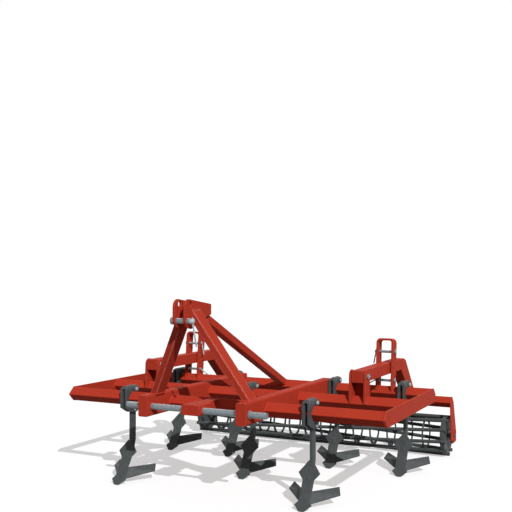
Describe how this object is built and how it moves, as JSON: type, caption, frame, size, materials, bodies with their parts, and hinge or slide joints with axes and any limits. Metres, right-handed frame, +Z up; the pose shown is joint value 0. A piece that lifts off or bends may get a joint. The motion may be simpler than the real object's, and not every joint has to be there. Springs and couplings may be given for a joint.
{
  "type": "mounted field cultivator",
  "caption": "Mounted field cultivator: red tube frame on edge, winged tines in clamps, braced hitch mast, and a twisted cage roller on depth arms behind.",
  "frame": {"origin": "on the floor below the middle of the machine's box", "axes": "+X to the right seen from the hitch, +Y from the hitch to the roller, +Z up"},
  "size_m": [3, 3.008, 1.62],
  "materials": {
    "red_paint": "satin brick-red paint on welded steel",
    "dark_steel": "matt charcoal paint on forged and cut steel",
    "zinc_steel": "zinc-plated steel pins and bars"
  },
  "bodies": {
    "frame": {"front_beam": "red_paint", "middle_beam": "red_paint", "rear_beam": "red_paint", "hitch_block": "red_paint", "mast_plates": "red_paint", "mast_stay": "red_paint", "end_plate_left": "red_paint", "end_plate_right": "red_paint", "spar_left": "red_paint", "spar_right": "red_paint", "mast_leg_left": "red_paint", "mast_leg_right": "red_paint", "pivot_bracket_left": "red_paint", "pivot_bracket_right": "red_paint", "guide_left": "red_paint", "guide_right": "red_paint", "hitch_bar": "zinc_steel", "link_pin": "zinc_steel", "pivot_pins": "zinc_steel", "stop_pins": "zinc_steel", "clamps_front": "dark_steel", "clamps_middle": "dark_steel", "clamps_rear": "dark_steel", "shanks_front": "dark_steel", "shanks_middle": "dark_steel", "shanks_rear": "dark_steel", "shares_front": "dark_steel", "shares_middle": "dark_steel", "shares_rear": "dark_steel", "wings_front": "dark_steel", "wings_middle": "dark_steel", "wings_rear": "dark_steel"},
    "roller_frame": {"roller_arm_left": "red_paint", "roller_arm_right": "red_paint", "roller_plate_left": "red_paint", "roller_plate_right": "red_paint", "roller_beam": "red_paint", "bearings": "dark_steel"},
    "roller": {"cage_bars": "dark_steel", "cage_rings": "dark_steel", "cage_ends": "dark_steel"}
  },
  "joints": [
    {"name": "roller_lift", "type": "hinge", "parent": "frame", "child": "roller_frame", "pos_m": [0, -0.296, 0.95], "axis": [1, 0, 0], "range_deg": [-3.8, 6.3]},
    {"name": "roller_spin", "type": "hinge", "parent": "roller_frame", "child": "roller", "pos_m": [0, 1.304, 0.2], "axis": [1, 0, 0], "continuous": true}
  ]
}
